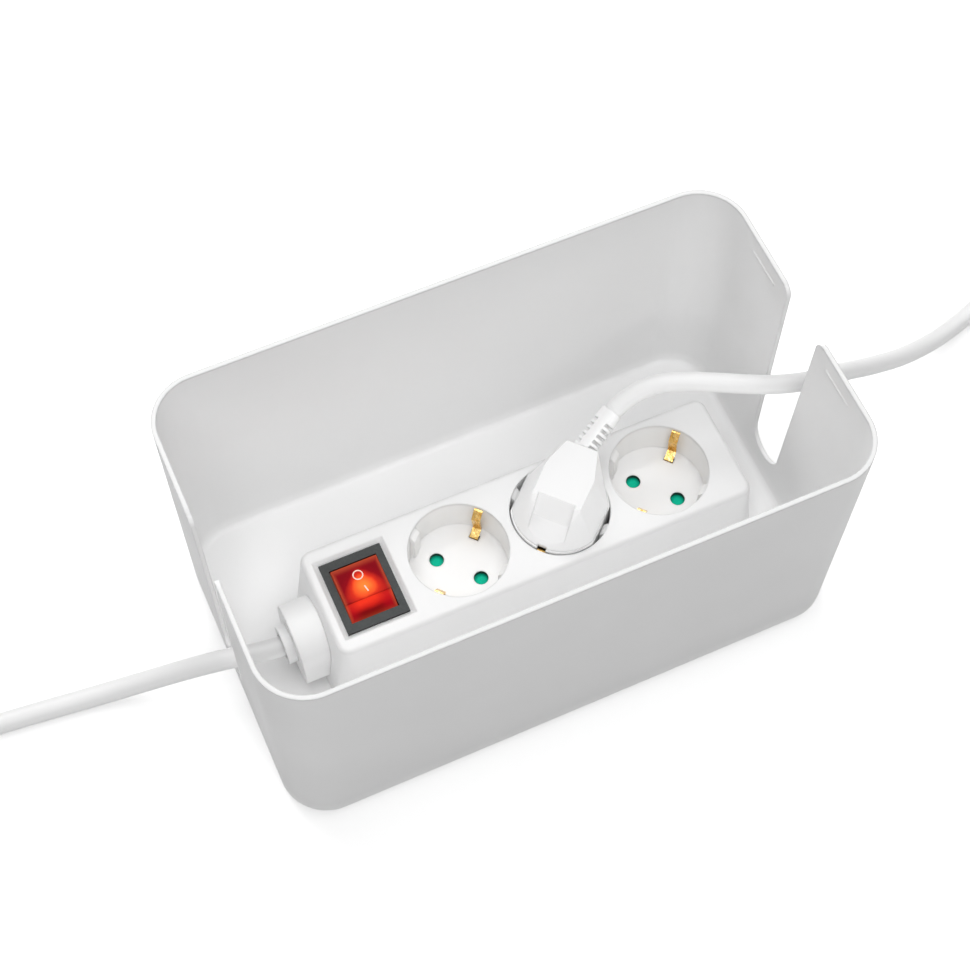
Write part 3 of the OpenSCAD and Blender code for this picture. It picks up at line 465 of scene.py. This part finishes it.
def metal(name, rgb, rough, scratch):
    """Plated metal with fine drawn lines."""
    s = Shader(name, metallic=1.0)
    s.colour(s.vary(s.noise(60.0, 3.0), shade(rgb, 0.93), shade(rgb, 1.03)))
    lines = s.noise(700.0, 3.0, 0.6, scratch)
    s.rough(lines, rough - 0.07, rough + 0.08)
    s.bump(lines, 2e-6)
    return s.mat


def sprung_brass(name):
    """Bright brass strip with soft dents that break up what it mirrors."""
    s = Shader(name, metallic=1.0)
    dents = s.noise(600.0)
    s.colour(s.vary(dents, (0.66, 0.38, 0.09), (0.97, 0.70, 0.28)))
    s.rough(s.noise(700.0, 3.0, 0.6, (4.0, 4.0, 1.0)), 0.18, 0.32)
    s.bump(dents, 3e-4)
    return s.mat


def switch_black(name):
    """Dark plastic, with painted shade that makes its sides nearly black and leaves it a little greyer
    where it faces up.
    """
    s = Shader(name, specular=0.2)
    face = s.vary(s.noise(900.0, 3.0), (0.040, 0.044, 0.044), (0.050, 0.054, 0.054))
    # painted shade: nearly black on the sides, dark grey where a face looks up
    s.colour(s.mix(s.fade(s.facing_up("True Normal"), 0.5, 0.9), (0.006, 0.006, 0.006), face))
    s.rough(s.noise(300.0, 3.0), 0.42, 0.55)
    s.bump(s.noise(1600.0, 3.0), 6e-6)
    return s.mat


def shutter_green(name):
    """Saturated green plastic, with painted shade under the edge of each pin hole."""
    s = Shader(name, specular=0.08)
    painted_shade_ao = s.node("ShaderNodeAmbientOcclusion", samples=8)
    painted_shade_ao.inputs["Distance"].default_value = 0.004
    lit = s.vary(s.noise(700.0, 3.0), (0.002, 0.72, 0.45), (0.003, 0.78, 0.49))
    # painted shade: dark green where walls lie close, as under the edge of each pin hole
    s.colour(s.mix(s.fade(painted_shade_ao.outputs["AO"], 0.15, 0.75), (0.001, 0.10, 0.06), lit))
    s.rough(s.noise(300.0, 3.0), 0.40, 0.55)
    s.bump(s.noise(1500.0, 3.0), 4e-6)
    return s.mat


# The white plastics, the painted light and shade on them, and the heights in metres at which they
# change.
WHITE_TRAY = (0.90, 0.90, 0.90)
# painted light: a paler white on the tray's floor and the foot of its walls
TRAY_FLOOR_PAINTED_LIGHT = (0.97, 0.97, 0.97)
WHITE_STRIP = (0.76, 0.76, 0.76)
# painted light: a paler white for the strip's wells and lower faces; also the base's own white
BASE_WHITE_AND_WELL_PAINTED_LIGHT = (0.92, 0.92, 0.92)
WHITE_PLUG = (0.72, 0.72, 0.72)
WHITE_GLAND = (0.84, 0.84, 0.84)
# painted light: a paler white on the sides of the plugs, the leads and the gland
SIDE_PAINTED_LIGHT = (0.93, 0.93, 0.93)
# painted shade: a greyer colour on the tray's lip
LIP_PAINTED_SHADE = (0.70, 0.70, 0.70)
# painted shade: near black on the walls of the pin holes
HOLE_PAINTED_SHADE = (0.03, 0.03, 0.03)
FLOOR_EDGE = (0.005, 0.012)
LIP_EDGE = (0.1218, 0.1229)
STRIP_EDGE = (0.0428, 0.0449)
HOLE_EDGE = (0.0276, 0.0272)
HOLES_AT = (0.0207, STRIP_Y * MM)   # the middle of the three wells
HOLES_HALF = (0.058, 0.015)         # all pin holes lie within this of it


def tray_white(name):
    """The tray's plastic, with painted light that makes it palest on the floor and painted shade that
    greys the lip.
    """
    s = Shader(name, specular=0.3)
    height = s.split(s.place)["Z"]
    # painted light on the floor, then painted shade on the lip
    wall = s.mix(s.fade(height, *FLOOR_EDGE), s.cloudy(TRAY_FLOOR_PAINTED_LIGHT), s.cloudy(WHITE_TRAY))
    s.colour(s.mix(s.fade(height, *LIP_EDGE), wall, LIP_PAINTED_SHADE))
    s.moulded(0.50, grain=1400.0, depth=5e-6, soft=0.0010)
    return s.mat


def strip_white(name):
    """The strip's plastic, with painted light that makes it paler below its top face, and painted shade
    in the pin holes.
    """
    s = Shader(name)
    x, y, height = s.split(s.place)
    # painted light below the top face
    white = s.mix(s.fade(height, *STRIP_EDGE), s.cloudy(BASE_WHITE_AND_WELL_PAINTED_LIGHT), s.cloudy(WHITE_STRIP))
    # painted shade on the walls of the pin holes, where they lie and below their rims
    along = s.math("LESS_THAN", s.away(x, HOLES_AT[0]), HOLES_HALF[0])
    aside = s.math("LESS_THAN", s.away(y, HOLES_AT[1]), HOLES_HALF[1])
    hole = s.math("MULTIPLY", s.fade(height, *HOLE_EDGE), s.math("MULTIPLY", aside, along))
    s.colour(s.mix(hole, white, HOLE_PAINTED_SHADE))
    s.moulded(0.40, grain=1800.0, depth=3e-6, soft=0.0010)
    return s.mat


def sides_painted_lighter(name, top, turned, rough, grain, depth, soft):
    """White plastic with painted light on its sides, which fades to its top colour between the two
    turned values.
    """
    s = Shader(name)
    # painted light on the sides, fading to the top colour
    s.colour(s.mix(s.fade(s.facing_up(), *turned), s.cloudy(SIDE_PAINTED_LIGHT), s.cloudy(top)))
    s.moulded(rough, grain, depth, soft)
    return s.mat


# The glow of the rocker, painted as light in its colour and emission. Places are in millimetres from its
# pivot.
GLOW_AT = (0.2, 0.6)
GLOW_WIDTH, GLOW_WIDENS = 1.3, -0.09
GLOW_SQUASH = 0.8
GLOW_RUN = (0.8, 10.5)
GLOW_STOPS = [(0.0, (0.80, 0.160, 0.026)), (0.14, (0.72, 0.090, 0.018)), (0.36, (0.46, 0.018, 0.008)),
              (0.70, (0.180, 0.001, 0.005)), (1.0, (0.150, 0.001, 0.005))]
NEAR_RUN = (-5.0, -11.0)
NEAR_STOPS = [(0.0, (0.62, 0.026, 0.010)), (0.4, (0.42, 0.010, 0.006)), (0.75, (0.14, 0.001, 0.002)),
              (1.0, (0.15, 0.003, 0.002))]
CRIMSON = (0.30, 0.001, 0.007)
CRIMSON_X, CRIMSON_RUN = -0.8, (2.5, 8.0)
EDGE_PAINTED_LIGHT = (0.36, 0.055, 0.022)
EDGE_X_RUN = (7.6, 9.5)
EDGE_Y, EDGE_Y_RUN = -0.8, (8.4, 11.8)
SIDE_SHARE = 0.7


def glow_red(name):
    """Translucent red plastic, with the glow of the lamp inside painted into its colour and emission."""
    s = Shader(name, specular=0.03)
    s.bsdf.inputs["Roughness"].default_value = 0.40
    place = s.split(s.place)
    x, y = (s.math("MULTIPLY_ADD", place[k], 1000.0, -float(PIVOT[k])) for k in (0, 1))
    cloud = s.noise(220.0)
    # the far face: a painted glow, a warm spot over the lamp that widens towards the ridge
    width = s.math("MULTIPLY_ADD", y, GLOW_WIDENS, GLOW_WIDTH)
    dx = s.math("DIVIDE", s.math("SUBTRACT", x, GLOW_AT[0]), width)
    dy = s.math("MULTIPLY", s.math("SUBTRACT", y, GLOW_AT[1]), GLOW_SQUASH)
    spot = s.math("SQRT", s.math("ADD", s.math("MULTIPLY", dx, dx), s.math("MULTIPLY", dy, dy)))
    far = s.stops(s.fade(s.math("MULTIPLY_ADD", cloud, 1.2, spot), *GLOW_RUN), GLOW_STOPS)
    # the near face: painted light, bright under the ridge, fading to painted shade, dark red at its foot
    # and crimson to the sides
    near = s.stops(s.fade(s.math("MULTIPLY_ADD", cloud, -0.8, y), *NEAR_RUN), NEAR_STOPS)
    aside = s.fade(s.away(x, CRIMSON_X), *CRIMSON_RUN)
    near = s.mix(s.math("MULTIPLY", aside, SIDE_SHARE), near, CRIMSON)
    body = s.mix(s.math("LESS_THAN", y, RIDGE_Y), far, near)
    # painted light caught along the window
    edge = s.math("MAXIMUM", s.fade(s.math("ABSOLUTE", x), *EDGE_X_RUN),
                  s.fade(s.away(y, EDGE_Y), *EDGE_Y_RUN))
    body = s.mix(s.math("MULTIPLY", edge, SIDE_SHARE), body, EDGE_PAINTED_LIGHT)
    # painted light: the glow goes into both the colour and the emission
    s.colour(body)
    s.links.new(body, s.bsdf.inputs["Emission Color"])
    s.bsdf.inputs["Emission Strength"].default_value = 0.5
    s.bump(s.noise(500.0), 3e-6, 0.0004)
    return s.mat


MATS = {
    "tray": tray_white("tray_plastic"),
    "feet": plastic("foot_rubber", (0.42, 0.42, 0.42), 0.75, grain=2500.0, depth=1.2e-5),
    "strip": strip_white("strip_plastic"),
    "base": plastic("base_plastic", BASE_WHITE_AND_WELL_PAINTED_LIGHT, 0.38, grain=1800.0),
    "steel": metal("zinc_steel", (0.62, 0.62, 0.60), 0.30, (1.0, 1.0, 8.0)),
    "contact_brass": sprung_brass("contact_brass"),
    "shutter_green": shutter_green("shutter_plastic"),
    "switch_black": switch_black("switch_plastic"),
    "lamp": plastic("lamp_glass", (1.0, 0.55, 0.2), 0.1),
    "pin_nickel": metal("pin_nickel", (0.72, 0.71, 0.68), 0.16, (1.0, 1.0, 6.0)),
    "cord_white": sides_painted_lighter("sheath_vinyl", WHITE_PLUG, (0.2, 0.95), 0.42, 1200.0, 6e-6, 0.0004),
    "core_sheath": plastic("core_vinyl", (0.03, 0.10, 0.48), 0.45, uneven=0.05),
    "plug_white": sides_painted_lighter("plug_plastic", WHITE_PLUG, (0.7, 0.98), 0.34, 1600.0, 3e-6, 0.0006),
    "switch_red": glow_red("switch_red"),
}
GLAND = sides_painted_lighter("gland_plastic", WHITE_GLAND, (0.2, 0.9), 0.42, 1800.0, 3e-6, 0.0010)
MARK_PAINT = plastic("mark_paint", (0.92, 0.66, 0.58), 0.5, specular=0.2)
STRAP_NYLON = plastic("strap_nylon", (0.045, 0.045, 0.05), 0.85, uneven=0.3, grain=2600.0, depth=4e-5,
                      specular=0.1)
SLOT_OF = {row["node"]: row["material_slot"] for row in frame["record"]["subparts"]}


def dress(obj, mat):
    obj.data.materials.clear()
    obj.data.materials.append(mat)


for name, obj in NODES.items():
    dress(obj, MATS[SLOT_OF[name]])
for name in ("gland_collar", "gland_ring"):
    dress(NODES[name], GLAND)
for obj in (mains, lead_out):
    dress(obj, MATS["cord_white"])
for obj in marks:
    dress(obj, MARK_PAINT)
for obj in (mains_strap, lead_strap):
    dress(obj, STRAP_NYLON)


# ---- light and ground ----

WHITE = (1, 1, 1, 1)
WORLD_LEVEL = 0.21
FLOOR_HALF = 3.0
FLOOR_SEEN = (0.80, 0.80, 0.80, 1)      # to the camera and in reflections
FLOOR_BOUNCE = (0.42, 0.42, 0.42, 1)    # in the light that it sends back to the object
FLOOR_LIFT = {"From Min": 0.45, "From Max": 1.3, "To Min": 0.36, "To Max": 1.0}  # metres, strength
LAMP_AIM = Vector((0.0, 0.0, 0.05))
LAMPS = [  # name, place, side in metres, watts
    ("lamp_top", (0.0, 0.0, 1.6), 0.8, 6.0),
    ("lamp_front", (-0.3, -0.9, 1.3), 1.0, 9.8),
    ("lamp_back", (0.0, 1.1, 1.3), 1.2, 19.0),
    ("lamp_right", (1.3, 0.0, 1.3), 1.0, 4.0),
]


def make_node(tree, kind, inputs=None):
    node = tree.nodes.new(kind)
    for key, value in (inputs or {}).items():
        node.inputs[key].default_value = value
    return node


def seen_plainly(tree):
    """1 for a camera, glossy or transmission ray."""
    path = make_node(tree, "ShaderNodeLightPath")
    total = path.outputs["Is Camera Ray"]
    for name in ("Is Glossy Ray", "Is Transmission Ray"):
        either = make_node(tree, "ShaderNodeMath")
        either.operation = "MAXIMUM"
        tree.links.new(total, either.inputs[0])
        tree.links.new(path.outputs[name], either.inputs[1])
        total = either.outputs[0]
    return total


def show(tree, output, lighting, seen):
    """Ends a tree in one shader for the light on the object and another for what is seen."""
    mix = make_node(tree, "ShaderNodeMixShader")
    tree.links.new(seen_plainly(tree), mix.inputs[0])
    tree.links.new(lighting.outputs[0], mix.inputs[1])
    tree.links.new(seen.outputs[0], mix.inputs[2])
    tree.links.new(mix.outputs[0], make_node(tree, output).inputs["Surface"])


def make_world():
    world = bpy.data.worlds.new("studio")
    world.use_nodes = True
    tree = world.node_tree
    tree.nodes.clear()
    soft = make_node(tree, "ShaderNodeBackground", {"Color": WHITE, "Strength": WORLD_LEVEL})
    plain = make_node(tree, "ShaderNodeBackground", {"Color": WHITE, "Strength": 1.0})
    show(tree, "ShaderNodeOutputWorld", soft, plain)
    scene.world = world


def make_floor():
    """A floor that keeps the object's shadow and turns whiter further out."""
    corners = [(x * FLOOR_HALF, y * FLOOR_HALF, 0) for x, y in ((-1, -1), (1, -1), (1, 1), (-1, 1))]
    floor = mesh_object("studio_floor", corners, [(0, 1, 2, 3)], smooth=False)
    mat = bpy.data.materials.new("studio_floor")
    mat.use_nodes = True
    tree = mat.node_tree
    tree.nodes.clear()
    bounce = make_node(tree, "ShaderNodeBsdfDiffuse", {"Color": FLOOR_BOUNCE})
    pale = make_node(tree, "ShaderNodeBsdfDiffuse", {"Color": FLOOR_SEEN})
    lift = make_node(tree, "ShaderNodeEmission", {"Color": WHITE})
    place = make_node(tree, "ShaderNodeTexCoord")
    out_from_middle = make_node(tree, "ShaderNodeVectorMath")
    out_from_middle.operation = "LENGTH"
    rise = make_node(tree, "ShaderNodeMapRange", FLOOR_LIFT)
    both = make_node(tree, "ShaderNodeAddShader")
    tree.links.new(place.outputs["Object"], out_from_middle.inputs[0])
    tree.links.new(out_from_middle.outputs["Value"], rise.inputs["Value"])
    tree.links.new(rise.outputs[0], lift.inputs["Strength"])
    tree.links.new(pale.outputs[0], both.inputs[0])
    tree.links.new(lift.outputs[0], both.inputs[1])
    show(tree, "ShaderNodeOutputMaterial", bounce, both)
    floor.data.materials.append(mat)


def make_lamp(name, place, side, watts):
    data = bpy.data.lights.new(name, "AREA")
    data.shape = "RECTANGLE"
    data.size = side
    data.size_y = side
    data.energy = watts
    obj = bpy.data.objects.new(name, data)
    aim = (LAMP_AIM - Vector(place)).to_track_quat("-Z", "Y")
    obj.matrix_world = Matrix.Translation(place) @ aim.to_matrix().to_4x4()
    scene.collection.objects.link(obj)


make_world()
make_floor()
for lamp in LAMPS:
    make_lamp(*lamp)

scene.view_settings.view_transform = "Standard"
